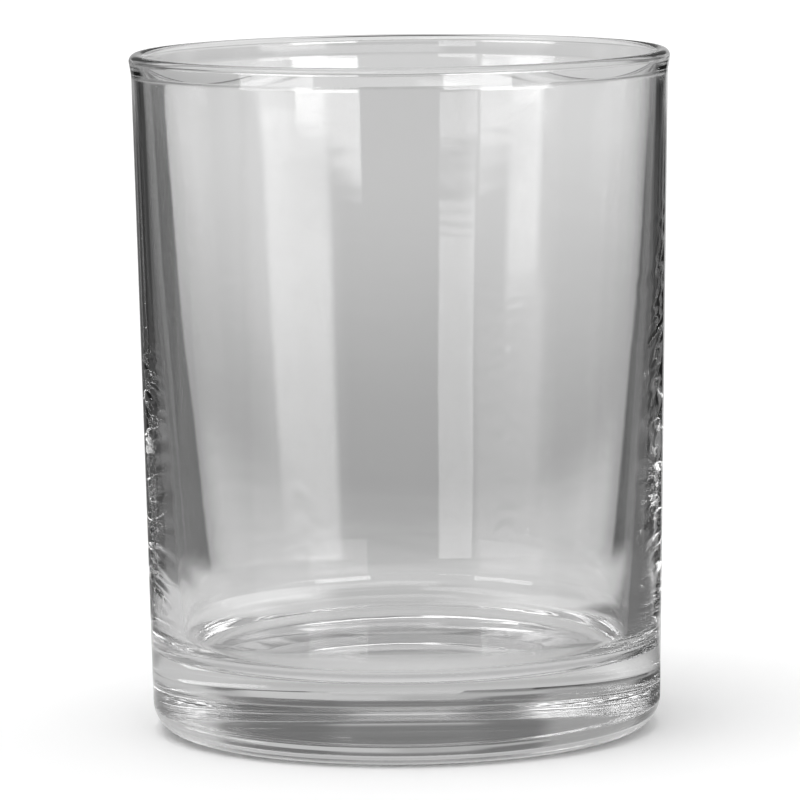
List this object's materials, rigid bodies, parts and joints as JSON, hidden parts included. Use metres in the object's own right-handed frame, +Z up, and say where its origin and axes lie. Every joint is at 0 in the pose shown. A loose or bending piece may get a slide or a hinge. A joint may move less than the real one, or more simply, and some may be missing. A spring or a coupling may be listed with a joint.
{
  "type": "rocks glass",
  "caption": "Clear rocks glass with a gently tapered wall, a round fire-polished rim, a heavy rounded base and a narrow ring foot.",
  "frame": {"origin": "centre of the foot ring, on the surface that the glass stands on", "axes": "+Z up along the axis of the glass, towards the rim; the glass is round, so X and Y are free"},
  "size_m": [0.0832, 0.0832, 0.105],
  "materials": {
    "clear_glass": "clear soda-lime glass, fire-polished, glossy all over"
  },
  "bodies": {
    "root": {"rim_bead": "clear_glass", "side_wall": "clear_glass", "heel": "clear_glass", "base_disc": "clear_glass", "foot_ring": "clear_glass"}
  },
  "joints": []
}
